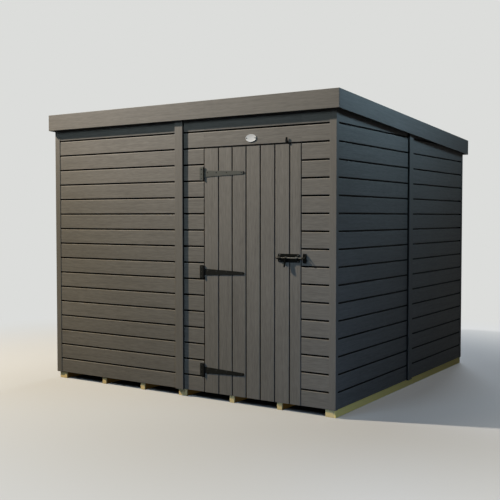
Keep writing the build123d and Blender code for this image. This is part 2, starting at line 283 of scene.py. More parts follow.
floor_mesh = bpy.data.meshes.new("floor")
shape = bmesh.new()
bmesh.ops.create_circle(shape, cap_ends=True, segments=FLOOR_SIDES, radius=FLOOR_RADIUS)
shape.to_mesh(floor_mesh)
shape.free()
floor = bpy.data.objects.new("floor", floor_mesh)
bpy.context.scene.collection.objects.link(floor)
floor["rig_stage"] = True

floor_paint, tree, shader = new_material("pale studio floor")
paint = add(tree, "Mix", COLOURS,
            {FACTOR: seen_directly(tree), UNDER: linear(FLOOR_AS_LIGHT), OVER: linear(FLOOR_SEEN)})
paint = paint_zones(tree, paint.outputs[MIXED], [(UNDER_SHED_SHADE, FAR_UNDER)])
set_inputs(tree, shader, {"Base Color": paint, "Roughness": 0.9, "Specular IOR Level": 0.1})
place = add(tree, "TexCoord").outputs["Object"]
away = add(tree, "VectorMath", {"operation": "LENGTH"}, {0: place})
fade = add(tree, "MapRange", SMOOTH,
           {"Value": away.outputs["Value"], "From Min": FLOOR_FADE[0], "From Max": FLOOR_FADE[1],
            "To Min": FLOOR_GLOW})
clear = add(tree, "Math", SUBTRACT, {0: 1, 1: within(tree, UNDER_SHED)})
for share in (seen_directly(tree), clear):
    fade = add(tree, "Math", MULTIPLY, {0: fade, 1: share})
glow = add(tree, "Emission", {}, {"Color": linear(BACKDROP)})
blend = add(tree, "MixShader", {}, {0: fade, 1: shader, 2: glow})
set_inputs(tree, tree.nodes["Material Output"], {"Surface": blend})
floor.data.materials.append(floor_paint)
print("floor radius:", FLOOR_RADIUS)

# %% [markdown]
# ## Grain that follows each board
# A board's emboss and a timber's growth rings run along the piece, whichever way it lies. One
# way is a texture mapping per direction. Here each face carries three attributes instead: `grain`
# is the direction of its board, `heart` is where its pattern starts, and `tone` makes boards
# differ a little, as they do from batch to batch. One material then serves every direction.

# %% Marks for the grain
SLIDE = 5  # metres that a pattern may start further up or down its board


def islands(shape):
    """The separate solids of a bmesh, each as a list of its faces."""
    shape.faces.ensure_lookup_table()
    shape.faces.index_update()
    seen = set()
    found = []
    for first in shape.faces:
        if first.index in seen:
            continue
        seen.add(first.index)
        island = [first]
        for face in island:
            for edge in face.edges:
                for other in edge.link_faces:
                    if other.index not in seen:
                        seen.add(other.index)
                        island.append(other)
        found.append(island)
    return found


def longest_way(faces):
    """The direction of the longest straight edge of these faces."""
    edges = [edge for face in faces for edge in face.edges]
    edge = max(edges, key=lambda e: round(e.calc_length(), 5))
    return (edge.verts[1].co - edge.verts[0].co).normalized()


def mark_grain(shape, seed, heart_reach, towards=None):
    """Marks each solid's grain; heart_reach is the least and most distance of its heart.

    An extruded board's edges don't come in the same order each run, so the way that is found
    along it may be either of two; with towards, it is the one that points there.
    """
    grain = shape.faces.layers.float_vector.new("grain")
    heart = shape.faces.layers.float_vector.new("heart")
    tone = shape.faces.layers.float.new("tone")
    draw = random.Random(seed)
    for faces in islands(shape):
        along = longest_way(faces)
        if towards is not None and along.dot(towards) < 0:
            along.negate()
        corners = [v.co for face in faces for v in face.verts]
        middle = sum(corners, Vector()) / len(corners)
        side = along.orthogonal().normalized()
        side.rotate(Matrix.Rotation(draw.uniform(0, math.tau), 3, along))
        start = middle + side * draw.uniform(*heart_reach) + along * draw.uniform(-SLIDE, SLIDE)
        board_tone = draw.uniform(-1, 1)
        for face in faces:
            face[grain] = along
            face[heart] = start
            face[tone] = board_tone


def grain_coordinates(tree, squeeze):
    """Places in a piece's own pattern, squeezed along its grain, and the part across the grain."""
    place = add(tree, "TexCoord").outputs["Object"]
    grain = add(tree, "Attribute", {"attribute_name": "grain"}).outputs["Vector"]
    heart = add(tree, "Attribute", {"attribute_name": "heart"}).outputs["Vector"]
    local = add(tree, "VectorMath", SUBTRACT, {0: place, 1: heart})
    along = add(tree, "VectorMath", {"operation": "DOT_PRODUCT"},
                {0: local, 1: grain}).outputs["Value"]
    lengthwise = add(tree, "VectorMath", {"operation": "SCALE"}, {0: grain, "Scale": along})
    across = add(tree, "VectorMath", SUBTRACT, {0: local, 1: lengthwise})
    short = add(tree, "VectorMath", {"operation": "SCALE"}, {0: lengthwise, "Scale": squeeze})
    return add(tree, "VectorMath", {"operation": "ADD"}, {0: across, 1: short}), across


print("marks on each face: grain, heart and tone")

# %% [markdown]
# ## Dirt and painted shade by depth
# The joints between boards are darkened, partly as dirt and partly as painted shade. The sides of
# the cover battens and the undersides of the fascias are darkened as painted shade. A mask for this
# could be baked from the shapes. Here the depth of a place behind the outer face of the wall boards
# is enough, because the shed is a plain box.

# %% Dirt and painted shade by depth
CLAD_HALF_WIDTH = -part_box("left_wall_front")[0].x
CLAD_HALF_DEPTH = -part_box("front_wall_left")[0].y
WALL_THICK = 18 * MM
DOOR_THICK = 12 * MM


def set_back(tree):
    """How far a place lies behind the outer face of the wall boards; negative in front of it."""
    place = place_parts(tree)
    gaps = []
    for axis, half in (("X", CLAD_HALF_WIDTH), ("Y", CLAD_HALF_DEPTH)):
        out = add(tree, "Math", {"operation": "ABSOLUTE"}, {0: place[axis]})
        gaps.append(add(tree, "Math", SUBTRACT, {0: half, 1: out}))
    return add(tree, "Math", {"operation": "MINIMUM"}, {0: gaps[0], 1: gaps[1]})


def dirt_and_shade_mask(tree, depth, start, full, back):
    """A mask of dirt and painted shade: 0 where depth is less than start, 1 from full on, and 0
    again on the piece's back.
    """
    rise = add(tree, "MapRange", SMOOTH, {"Value": depth, "From Min": start, "From Max": full})
    fall = add(tree, "MapRange", {},
               {"Value": depth, "From Min": back - 1.5 * MM, "From Max": back - 0.5 * MM,
                "To Min": 1, "To Max": 0})
    return add(tree, "Math", MULTIPLY, {0: rise, 1: fall})


print("wall boards' face:", round(CLAD_HALF_WIDTH, 4), "and", round(CLAD_HALF_DEPTH, 4), "m out")

# %% [markdown]
# ## Composite boards: extruded wood-plastic, embossed
# Wood flour and polyethylene are extruded through a die and rolled with a wood grain. The eye
# gets an even warm grey with fine streaks along the board, a dull satin sheen and no growth
# rings. The streaks could be modelled, but nothing of them shows in an outline, so they are
# noise squeezed along the grain. The real ones are about 2 mm wide, too fine for the render, so
# they are drawn 6 and 13 mm wide. Depth also marks the arrises, which get a pale painted highlight.

# %% Composite board material
FINE_STREAK, FINE_SQUEEZE = 6 * MM, 0.10
BROAD_STREAK, BROAD_SQUEEZE = 13 * MM, 0.03
FINE_SHARE = 0.6
CLOUD = 350 * MM
BOARD_TONE = 0.035
# depths over which the arrises get a painted highlight
ARRIS_HIGHLIGHT_DEPTHS = (0.01 * MM, 0.2 * MM)


def make_composite(name, colour, contrast, dirt_and_shade_depths, back=WALL_THICK, least=0.12, below=False,
                   arris=1.0):
    """Embossed composite: streaks, a tone per board, dirt with painted shade, and painted
    highlights.

    contrast is that of the streaks. Next come the depths where dirt and painted shade start and are
    full; least is the share of the colour that they leave, and below keeps them to undersides.
    arris is how much paler the arrises are painted as a highlight, and back is how deep the piece's
    back lies.
    """
    material, tree, shader = new_material(name)
    short_places, _ = grain_coordinates(tree, FINE_SQUEEZE)
    long_places, _ = grain_coordinates(tree, BROAD_SQUEEZE)
    object_places = add(tree, "TexCoord").outputs
    fine = add(tree, "TexNoise", {},
               {"Vector": short_places, "Scale": 1 / FINE_STREAK, "Detail": 3})
    broad = add(tree, "TexNoise", {},
                {"Vector": long_places, "Scale": 1 / BROAD_STREAK, "Detail": 3})
    cloud = add(tree, "TexNoise", {},
                {"Vector": object_places["Object"], "Scale": 1 / CLOUD, "Detail": 3})
    streaks = add(tree, "Math", MULTIPLY, {0: broad, 1: 1 - FINE_SHARE})
    streaks = add(tree, "Math", MULTIPLY_ADD, {0: fine, 1: FINE_SHARE, 2: streaks})
    value = add(tree, "Math", MULTIPLY_ADD, {0: streaks, 1: contrast, 2: 1 - contrast / 2})
    tone = add(tree, "Attribute", {"attribute_name": "tone"}).outputs["Fac"]
    value = add(tree, "Math", MULTIPLY_ADD, {0: tone, 1: BOARD_TONE, 2: value})
    drift = add(tree, "MapRange", {}, {"Value": cloud, "To Min": 0.92, "To Max": 1.08})
    depth = set_back(tree)
    # a painted highlight along the arrises
    arris_highlight = add(tree, "MapRange", {},
               {"Value": depth, "From Min": ARRIS_HIGHLIGHT_DEPTHS[0], "From Max": ARRIS_HIGHLIGHT_DEPTHS[1],
                "To Min": 1, "To Max": arris})
    # dirt and painted shade, by depth behind the wall boards' face
    dirt_and_shade_share = dirt_and_shade_mask(tree, depth, *dirt_and_shade_depths, back)
    if below:
        way = add(tree, "SeparateXYZ", {}, {0: object_places["Normal"]}).outputs["Z"]
        down = add(tree, "MapRange", {}, {"Value": way, "From Min": -0.3, "From Max": -0.8})
        dirt_and_shade_share = add(tree, "Math", MULTIPLY, {0: dirt_and_shade_share, 1: down})
    kept_lightness = add(tree, "MapRange", {}, {"Value": dirt_and_shade_share, "To Min": 1, "To Max": least})
    for factor in (drift, arris_highlight, kept_lightness):
        value = add(tree, "Math", MULTIPLY, {0: value, 1: factor})
    shade = add(tree, "HueSaturation", {}, {"Value": value, "Color": linear(colour)})
    rough = add(tree, "MapRange", {}, {"Value": fine, "To Min": 0.60, "To Max": 0.78})
    emboss = add(tree, "Bump", {}, {"Strength": 0.7, "Distance": 0.5 * MM, "Height": streaks})
    set_inputs(tree, shader, {"Base Color": shade, "Roughness": rough,
                              "Specular IOR Level": 0.05, "Normal": emboss})
    return material


# Strong streaks, joints darkened almost to black with dirt and painted shade, and a painted
# highlight along each arris.
wall_composite = make_composite("embossed composite wall board", "#635F58", contrast=1.0,
                                dirt_and_shade_depths=(0.8 * MM, 3 * MM), least=0.02, arris=1.35)
# The same board, upright, with joints darkened by dirt and painted shade, but not to black.
door_composite = make_composite("embossed composite door board", "#635F58", contrast=1.0,
                                dirt_and_shade_depths=(2 * MM, 6 * MM), back=DOOR_THICK)
# Plain extrusions look smoother; the corner trims are not darkened, the battens' sides get painted
# shade.
trim_composite = make_composite("plain composite trim", "#625E57", contrast=0.45,
                                dirt_and_shade_depths=(2 * MM, 6 * MM))
batten_composite = make_composite("plain composite cover batten", "#625E57", contrast=0.45,
                                  dirt_and_shade_depths=(-16 * MM, -11 * MM))
# A little paler than the walls, with painted shade on its underside.
fascia_composite = make_composite("embossed composite fascia", "#646059", contrast=0.85,
                                  dirt_and_shade_depths=(-37 * MM, -33 * MM), below=True)
print("made:", wall_composite.name, "and four more")

# %% [markdown]
# ## Softwood: planed inside, pressure treated under the floor
# Pine shows growth rings: a pale early wood that darkens to a thin late wood, then starts again.
# Rings are cylinders round the tree's heart, so their distance from `heart` drives a saw-tooth.
# Where a timber's face cuts the cylinders, the usual arches and stripes come by themselves, and
# its end shows arcs. Its fibres are far finer than the render shows, so they are drawn 1.6 mm
# wide. The frame's front faces, which show through the gaps round the door, get a near-black
# painted shade.

# %% Softwood materials
RING_SQUEEZE = 0.04
SWAY_LENGTH = 45 * MM
SWAY_REACH = 14 * MM
EARLY_WOOD_ENDS = 0.35
LATE_WOOD = 0.82
FIBRE = 1.6 * MM
TIMBER_TONE = 0.08
SHADED_FRONT_FACES = WALL_THICK + 0.5 * MM - CLAD_HALF_DEPTH


def make_softwood(name, early, late, ring, roughness, front_shade=None, zones=()):
    """Softwood with growth rings; ring is the width of one, and a near-black painted shade may be
    given for its front faces.
    """
    material, tree, shader = new_material(name)
    places, across = grain_coordinates(tree, RING_SQUEEZE)
    sway = add(tree, "TexNoise", {}, {"Vector": places, "Scale": 1 / SWAY_LENGTH, "Detail": 2})
    distance = add(tree, "VectorMath", {"operation": "LENGTH"}, {0: across}).outputs["Value"]
    turned = add(tree, "Math", MULTIPLY_ADD, {0: sway, 1: SWAY_REACH, 2: distance})
    count = add(tree, "Math", {"operation": "DIVIDE"}, {0: turned, 1: ring})
    saw = add(tree, "Math", {"operation": "FRACT"}, {0: count})
    ramp = add(tree, "ValToRGB", {}, {"Fac": saw})
    ramp.color_ramp.elements[0].color = linear(early)
    ramp.color_ramp.elements[1].color = linear(early)
    ramp.color_ramp.elements.new(LATE_WOOD).color = linear(late)
    ramp.color_ramp.elements[0].position = EARLY_WOOD_ENDS
    fibre = add(tree, "TexNoise", {}, {"Vector": places, "Scale": 1 / FIBRE, "Detail": 3})
    tone = add(tree, "Attribute", {"attribute_name": "tone"}).outputs["Fac"]
    value = add(tree, "MapRange", {}, {"Value": fibre, "To Min": 0.86, "To Max": 1.14})
    value = add(tree, "Math", MULTIPLY_ADD, {0: tone, 1: TIMBER_TONE, 2: value})
    shade = add(tree, "HueSaturation", {}, {"Value": value, "Color": ramp})
    # front faces get a painted shade where the door's gaps show them
    if front_shade:
        front = add(tree, "Math", {"operation": "LESS_THAN"},
                    {0: place_parts(tree)["Y"], 1: SHADED_FRONT_FACES})
        shade = add(tree, "Mix", COLOURS, {FACTOR: front, UNDER: shade,
                                           OVER: linear(front_shade)}).outputs[MIXED]
    shade = paint_zones(tree, shade, zones)
    relief = add(tree, "Bump", {}, {"Strength": 0.4, "Distance": 0.3 * MM, "Height": fibre})
    set_inputs(tree, shader, {"Base Color": shade, "Roughness": roughness,
                              "Specular IOR Level": 0.3, "Normal": relief})
    return material


# Green-yellow from its salts; painted dark brown as shade under the floor away from the ends, and
# painted paler on its outer side as painted light.
BEARER_SHADED_MIDDLES = about_middle((1.205, 1.195), (1.1685, 1.155))
BEARER_LIT_OUTER_SIDE = [("X", 1.2, 1.213)]
treated = make_softwood("pressure treated softwood", "#DBC28C", "#AC9558", ring=5 * MM,
                        roughness=0.8,
                        zones=(("#7A4E10", BEARER_SHADED_MIDDLES), ("#FBD97C", BEARER_LIT_OUTER_SIDE)))
# Honey-coloured and smooth from the planer; a painted shade darkens its front faces.
planed = make_softwood("planed softwood", "#D6B583", "#B78A55", ring=4 * MM, roughness=0.6,
                       front_shade="#070707")
# The same wood, a little darker and polished by feet.
floor_wood = make_softwood("planed floor board", "#CFAE7C", "#AB8150", ring=3.5 * MM,
                           roughness=0.5)
print("softwoods:", treated.name, "/", planed.name, "/", floor_wood.name)

# %% [markdown]
# ## Black coats on steel
# The hinges are pressed steel under powder coat, which bakes to an orange-peel skin that spreads
# each highlight. The bolt and the turn button are enamelled, which is smoother. Both are nearly
# black. Light and shade are painted in zones: the top hinge is painted paler as a painted sheen,
# the knuckles and the tips of the straps are painted darker as painted shade, and the bolt has a
# painted highlight along its top.

# %% Black coats
PEEL = 1.2 * MM
PATCH = 30 * MM
HINGE_METAL = 3 * MM
BOLT_METAL = 2.5 * MM


def make_black_coat(name, colour, smooth, rough, gloss, painted_light_zones=()):
    """Black coat on steel; smooth and rough are its least and most roughness, then zones of painted
    light.
    """
    material, tree, shader = new_material(name)
    place = add(tree, "TexCoord").outputs["Object"]
    peel = add(tree, "TexNoise", {}, {"Vector": place, "Scale": 1 / PEEL, "Detail": 2})
    patch = add(tree, "TexNoise", {}, {"Vector": place, "Scale": 1 / PATCH, "Detail": 3})
    value = add(tree, "MapRange", {}, {"Value": patch, "To Min": 0.8, "To Max": 1.2})
    coat = paint_zones(tree, linear(colour), painted_light_zones)
    shade = add(tree, "HueSaturation", {}, {"Value": value, "Color": coat})
    blur = add(tree, "MapRange", {}, {"Value": peel, "To Min": smooth, "To Max": rough})
    skin = add(tree, "Bump", {}, {"Strength": 0.25, "Distance": 0.08 * MM, "Height": peel})
    set_inputs(tree, shader, {"Base Color": shade, "Roughness": blur,
                              "Specular IOR Level": gloss, "Normal": skin})
    return material


door_low, door_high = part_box("door_panel")
hinge_face = door_low.y - HINGE_METAL
bolt_face = door_low.y - BOLT_METAL
strap_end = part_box("hinge_straps")[1].x
# Zones of painted light: the top hinge is painted paler as a sheen, the knuckles and the strap tips
# darker as painted shade.
top_hinge = ("Z", 1.25, 1.45)
knuckles = ("Y", hinge_face - 0.3 * MM, hinge_face - 1 * MM)
strap_tips = ("X", strap_end - 11 * MM, strap_end - 8 * MM)
hinge_coat = make_black_coat(
    "satin black powder coat on steel", "#171714", smooth=0.4, rough=0.55, gloss=0.05,
    painted_light_zones=(("#4A4A44", [top_hinge]), ("#060605", [knuckles]), ("#0A0A09", [strap_tips])))

bolt_low, bolt_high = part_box("bolt_shaft")
bolt_axis = (bolt_low.z + bolt_high.z) / 2
keep_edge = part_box("bolt_keep")[0].x
lever_low, lever_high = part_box("bolt_lever")
# The painted highlight on the bolt's top: its upper half, in front of its plate, short of the keep,
# and not the turn button higher up. It is brightest past the lever; the lever and its ring get
# none.
painted_rod_highlight = [("Y", bolt_face - 2 * MM, bolt_face - 4 * MM),
            ("Z", bolt_axis - 1 * MM, bolt_axis + 2 * MM),
            ("Z", bolt_axis + 40 * MM, bolt_axis + 30 * MM),
            ("X", keep_edge, keep_edge - 2 * MM)]
past_the_lever = ("X", lever_low.x, lever_high.x)
lever_ring = [("X", lever_low.x - 2 * MM, lever_low.x), ("X", lever_high.x + 2 * MM, lever_high.x),
              ("Z", bolt_axis + 7 * MM, bolt_axis + 4 * MM)]
bolt_coat = make_black_coat(
    "smooth black enamel on steel", "#0B0C09", smooth=0.3, rough=0.42, gloss=0.05,
    painted_light_zones=(("#282825", painted_rod_highlight), ("#4C4C48", painted_rod_highlight + [past_the_lever]),
          ("#0B0C09", lever_ring)))

# Screws: blackened ones hardly show, dull zinc gives a small grey glint, and the bolt's screws are
# pale zinc with a painted glint.
screw_black = make_black_coat("blackened screw steel", "#060605", smooth=0.7, rough=0.9,
                              gloss=0.08)
screw_steel = make_black_coat("dull black zinc screw steel", "#1B1B18", smooth=0.5, rough=0.7,
                              gloss=0.16)
# pale colour, partly zinc and partly a painted glint
bolt_screw = make_black_coat("zinc screw steel with painted glint", "#444441", smooth=0.4, rough=0.6,
                             gloss=0.3)
print("bolt's axis at", round(bolt_axis, 4), "m, keep from", round(keep_edge, 4), "m")

# %% [markdown]
# ## Brushed aluminium
# The small oval plate is aluminium sheet, brushed along its length under clear lacquer that the
# weather has dulled. The eye gets a pale satin grey with fine lines. A full metal would mirror
# the backdrop, so most of it is the lacquer's own dull surface.

# %% Brushed aluminium
BRUSH_LINE, BRUSH_SQUEEZE = 0.6 * MM, 0.02

aluminium, tree, shader = new_material("brushed aluminium")
place = add(tree, "TexCoord").outputs["Object"]
brushed = add(tree, "Mapping", {}, {"Vector": place, "Scale": (BRUSH_SQUEEZE, 1, 1)})
lines = add(tree, "TexNoise", {}, {"Vector": brushed, "Scale": 1 / BRUSH_LINE, "Detail": 2})
value = add(tree, "MapRange", {}, {"Value": lines, "To Min": 0.92, "To Max": 1.06})
shade = add(tree, "HueSaturation", {}, {"Value": value, "Color": linear("#A1A19E")})
set_inputs(tree, shader, {"Base Color": shade, "Metallic": 0.15, "Roughness": 0.5})
print("made:", aluminium.name)

# %% [markdown]
# ## The roof: rubber membrane on strand board
# One sheet of black rubber covers the roof, greyed by talc in soft clouds, with a faint sag
# between the rafters. It lies on strand board: flakes of wood pressed flat, 14 mm wide and about
# 60 mm long, laid every way. Each flake could be a face of its own, but the deck shows only at
# its edges and from inside, so a cell pattern in three turned copies imitates them, and noise
# picks which copy lies on top.

# %% Rubber membrane
TALC_CLOUD = 420 * MM
RUBBER_GRIT = 4 * MM

membrane, tree, shader = new_material("rubber roof membrane")
place = add(tree, "TexCoord").outputs["Object"]
talc = add(tree, "TexNoise", {},
           {"Vector": place, "Scale": 1 / TALC_CLOUD, "Detail": 6, "Roughness": 0.6})
grit = add(tree, "TexNoise", {}, {"Vector": place, "Scale": 1 / RUBBER_GRIT, "Detail": 2})
shade = add(tree, "ValToRGB", {}, {"Fac": talc})
for number, position, hex_code in ((0, 0.3, "#2B2B2D"), (1, 0.75, "#3B3B3D")):
    shade.color_ramp.elements[number].position = position
    shade.color_ramp.elements[number].color = linear(hex_code)
skin = add(tree, "Bump", {}, {"Strength": 0.3, "Distance": 0.4 * MM, "Height": grit})
sag = add(tree, "Bump", {}, {"Strength": 0.5, "Distance": 4 * MM, "Height": talc, "Normal": skin})
set_inputs(tree, shader, {"Base Color": shade, "Roughness": 0.72, "Normal": sag})
print("made:", membrane.name)

# %% Strand board
FLAKE, FLAKE_SQUEEZE = 14 * MM, 0.22
FLAKE_PATCH = 60 * MM
FLAKE_TURNS = {0.3: 0.0, 0.47: 1.1, 0.64: 2.2}  # each copy's turn, by the noise it starts at

strand_board, tree, shader = new_material("strand board")
place = add(tree, "TexCoord").outputs["Object"]
pick = add(tree, "TexNoise", {}, {"Vector": place, "Scale": 1 / FLAKE_PATCH, "Detail": 1})
colour = linear("#C9A46C")
for least, turn in FLAKE_TURNS.items():
    turned = add(tree, "Mapping", {}, {"Vector": place, "Rotation": (0, 0, turn),
                                       "Scale": (FLAKE_SQUEEZE, 1, 1)})
    flakes = add(tree, "TexVoronoi", {}, {"Vector": turned, "Scale": 1 / FLAKE})
    shade = add(tree, "ValToRGB", {}, {"Fac": flakes.outputs["Color"]})
    shade.color_ramp.elements[0].color = linear("#A47C47")
    shade.color_ramp.elements[1].color = linear("#DDBE8A")
    here = add(tree, "Math", {"operation": "GREATER_THAN"}, {0: pick, 1: least})
    colour = add(tree, "Mix", COLOURS, {FACTOR: here, UNDER: colour, OVER: shade}).outputs[MIXED]
set_inputs(tree, shader, {"Base Color": colour, "Roughness": 0.7})
print("materials in all:", len(bpy.data.materials))

# %% [markdown]
# ## Turning a bmesh into a piece
# Every piece ends the same way: it becomes an object at the origin, gets its material, rides on a
# body and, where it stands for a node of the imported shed, hides that node. Its arrises are
# rounded by a Bevel modifier with hardened normals, which leaves the flats flat to the eye. The
# modifier either takes every sharp edge, or follows the weights given to the edges.

# %% Finish a piece
SHARP = math.radians(30)
pieces_made = []


def finish_piece(shape, name, material, body="shed", stands_for=None, rounding=1 * MM,
                 segments=2, by_weight=False):
    """Makes an object of the bmesh, rounds its arrises and puts it on its body."""
    weights = shape.edges.layers.float.get("bevel_weight_edge")
    for edge in shape.edges:
        rounded = by_weight and edge[weights] > 0
        edge.smooth = rounded or edge.calc_face_angle(0) < SHARP
    for face in shape.faces:
        face.smooth = True
    mesh = bpy.data.meshes.new(name)
    shape.to_mesh(mesh)
    shape.free()
    mesh.materials.append(material)
    piece = bpy.data.objects.new(name, mesh)
    bpy.context.scene.collection.objects.link(piece)
    if rounding:
        bevel = piece.modifiers.new("rounded arris", "BEVEL")
        bevel.width = rounding
        bevel.segments = segments
        bevel.harden_normals = True
        bevel.limit_method = "WEIGHT" if by_weight else "ANGLE"
        bevel.angle_limit = SHARP
    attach(piece, body)
    if stands_for:
        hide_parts(stands_for)
    pieces_made.append(name)
    return piece


def body_of(node):
    return frame["nodes"][node]["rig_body"]


def slot_of(node):
    return next(part["material_slot"] for part in frame["record"]["subparts"]
                if part["node"] == node)


def print_solids(name, shape):
    """Says how many solids a bmesh holds; a closed one has no edge without two faces."""
    open_edges = sum(len(edge.link_faces) != 2 for edge in shape.edges)
    print(name, len(islands(shape)), "solids, open edges", open_edges)


print("the door's boards will ride on", body_of("door_panel"), "in slot", slot_of("door_panel"))

# %% [markdown]
# ## Boards with real joints
# A shiplap wall is not a plane with lines on it. Each board's foot is square, the top of the next
# one below is rounded back, and a gap of about 10 mm is left between them, in front of the tongue
# that closes the wall 15 mm behind. In light from above, that shows as a dark line with a bright
# one under it. Each board is drawn as an outline of a few points across it, extruded along its
# run. The edges that are to be rounded get a bevel weight, as a share of the largest radius.

# %% Board maker
UP = Vector((0, 0, 1))
RIGHT = Vector((1, 0, 0))
BACKWARDS = Vector((0, 1, 0))
# thick: the board; lip and lap: from a joint's level down to one board's top and up to the next
# one's foot; groove: depth of the gap; shoulder and foot: radii of that top and that foot
WALL_JOINT = dict(thick=WALL_THICK, lip=6 * MM, lap=4.5 * MM, groove=15 * MM,
                  shoulder=5 * MM, foot=1 * MM)
DOOR_JOINT = dict(thick=DOOR_THICK, lip=3.8 * MM, lap=3.8 * MM, groove=9.5 * MM,
                  shoulder=2.4 * MM, foot=2.4 * MM)
FLOOR_JOINT = dict(thick=12 * MM, lip=0.5 * MM, lap=0.5 * MM, groove=3 * MM,
                   shoulder=1 * MM, foot=1 * MM)
ALONG_RUN = 0.99  # least cosine between the run and an edge that follows it
COMPOSITE_HEART = (0, 3)  # metres from a board's middle to where its pattern starts


def weight_layer(shape):
    layers = shape.edges.layers.float
    return layers.get("bevel_weight_edge") or layers.new("bevel_weight_edge")


def widest_radius(joint):
    return max(joint["shoulder"], joint["foot"])


def add_board(shape, joint, origin, run, rise, inward, length, low, high, tongued=True):
    """One board from low to high along rise; its outer face is in the plane through origin."""
    top = high - joint["lip"] if tongued else high
    outline = [(0, low), (0, top)]
    if tongued:
        tongue = high + joint["lap"]
        outline += [(joint["groove"], top), (joint["groove"], tongue), (joint["thick"], tongue)]
    else:
        outline += [(joint["thick"], top)]
    outline += [(joint["thick"], low)]
    start = [shape.verts.new(origin + inward * depth + rise * up) for depth, up in outline]
    made = bmesh.ops.extrude_face_region(shape, geom=[shape.faces.new(start)])
    bmesh.ops.translate(shape, vec=run * length,
                        verts=[g for g in made["geom"] if isinstance(g, bmesh.types.BMVert)])
    weights = weight_layer(shape)
    for vert, radius in ((start[0], joint["foot"]), (start[1], joint["shoulder"])):
        for edge in vert.link_edges:
            way = (edge.verts[1].co - edge.verts[0].co).normalized()
            if abs(way.dot(run)) > ALONG_RUN:
                edge[weights] = radius / widest_radius(joint)


def finish_boards(shape, name, node, material, joint, seed):
    """Marks the boards' grain and makes them the piece that stands for a node."""
    bmesh.ops.recalc_face_normals(shape, faces=shape.faces)
    mark_grain(shape, seed, COMPOSITE_HEART, towards=RIGHT + BACKWARDS + UP)
    print_solids(name, shape)
    return finish_piece(shape, name, material, body_of(node), node,
                        rounding=widest_radius(joint), segments=4, by_weight=True)


print("gap between wall boards:", round((WALL_JOINT["lip"] + WALL_JOINT["lap"]) / MM, 1), "mm")

# %% [markdown]
# ## Wall boards
# The joints lie on one set of levels all round the shed, because its panels are made on one jig:
# one of them is the head of the doorway. A side panel follows the roof, so its boards are made to
# their full length first and then cut by the roof's plane, which `bisect_plane` does, and the cut
# is closed again.

# %% Wall boards
PITCH = 112 * MM
doorway_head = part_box("front_wall_over_door")[0].z
levels = [doorway_head + PITCH * step for step in range(-15, 5)]
# each side's run, and its way inwards
WALL_RUNS = {
    "front": (RIGHT, BACKWARDS), "back": (RIGHT, -BACKWARDS),
    "right": (BACKWARDS, -RIGHT), "left": (BACKWARDS, RIGHT),
}
# a node's first word is its side
WALL_NODES = ("front_wall_left", "front_wall_beside_hinges", "front_wall_over_door",
              "front_wall_beside_bolt", "right_wall_front", "right_wall_back",
              "left_wall_front", "left_wall_back", "back_wall_left", "back_wall_right")


def cut_above(shape, point, normal):
    """Takes off what lies above a plane, and closes the cut."""
    made = bmesh.ops.bisect_plane(shape, geom=shape.verts[:] + shape.edges[:] + shape.faces[:],
                                  dist=1e-6, plane_co=point, plane_no=normal, clear_outer=True)
    cut = [g for g in made["geom_cut"] if isinstance(g, bmesh.types.BMEdge) and g.is_boundary]
    bmesh.ops.edgenet_fill(shape, edges=cut)


def top_slope(node):
    """Fall of a node's top per metre of depth, from its highest points at the front and back."""
    corners = [v.co for v in frame["nodes"][node].data.vertices]
    front = min(c.y for c in corners)
    back = max(c.y for c in corners)
    front_top = max(c.z for c in corners if c.y < front + MM)
    back_top = max(c.z for c in corners if c.y > back - MM)
    return (front_top - back_top) / (back - front)


def clad_wall(node, seed):
    """A wall panel's boards; a sliver under a quarter of a board at its foot is left out."""
    side = node.split("_")[0]
    run, inward = WALL_RUNS[side]
    low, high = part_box(node)
    outer = Vector((low.x if inward.x >= 0 else high.x, low.y if inward.y >= 0 else high.y, 0))
    length = (high - low).dot(run)
    shape = bmesh.new()
    for under, over in zip(levels[:-1], levels[1:]):
        foot = max(under + WALL_JOINT["lap"], low.z)
        if foot < over - PITCH / 4 and foot < high.z - WALL_JOINT["lap"]:
            add_board(shape, WALL_JOINT, outer, run, UP, inward, length, foot, over)
    slope = top_slope(node) if side in ("right", "left") else 0
    cut_above(shape, Vector((0, low.y, high.z)), Vector((0, slope, 1)).normalized())
    return finish_boards(shape, node + "_boards", node, wall_composite, WALL_JOINT, seed)


for seed, node in enumerate(WALL_NODES):
    clad_wall(node, seed)

# %% [markdown]
# ## Door boards
# The door is seven upright boards, tongued together, with a groove of about 8 mm between their
# rounded arrises. The first and the last are cut to suit its width. They are drawn like the
# wall's boards, turned to run upwards.

# %% Door boards
DOOR_PITCH = 111.2 * MM
FIRST_DOOR_JOINT = 117.5 * MM

door_joints = [door_low.x]
while door_joints[-1] + DOOR_PITCH < door_high.x:
    step = FIRST_DOOR_JOINT if len(door_joints) == 1 else DOOR_PITCH
    door_joints.append(door_joints[-1] + step)
door_joints.append(door_high.x)
shape = bmesh.new()
for number, (left, right) in enumerate(zip(door_joints[:-1], door_joints[1:])):
    foot = left if number == 0 else left + DOOR_JOINT["lap"]
    last = number == len(door_joints) - 2
    add_board(shape, DOOR_JOINT, Vector((0, door_low.y, door_low.z)), UP, RIGHT, BACKWARDS,
              door_high.z - door_low.z, foot, right, tongued=not last)
finish_boards(shape, "door_boards", "door_panel", door_composite, DOOR_JOINT, seed=31)

# %% [markdown]
# ## Floor boards
# The floor is tongued softwood, laid across the bearers and joined over the middle one. Its boards
# have only a hairline V between them.

# %% Floor boards
FLOOR_PITCH = 115.9 * MM


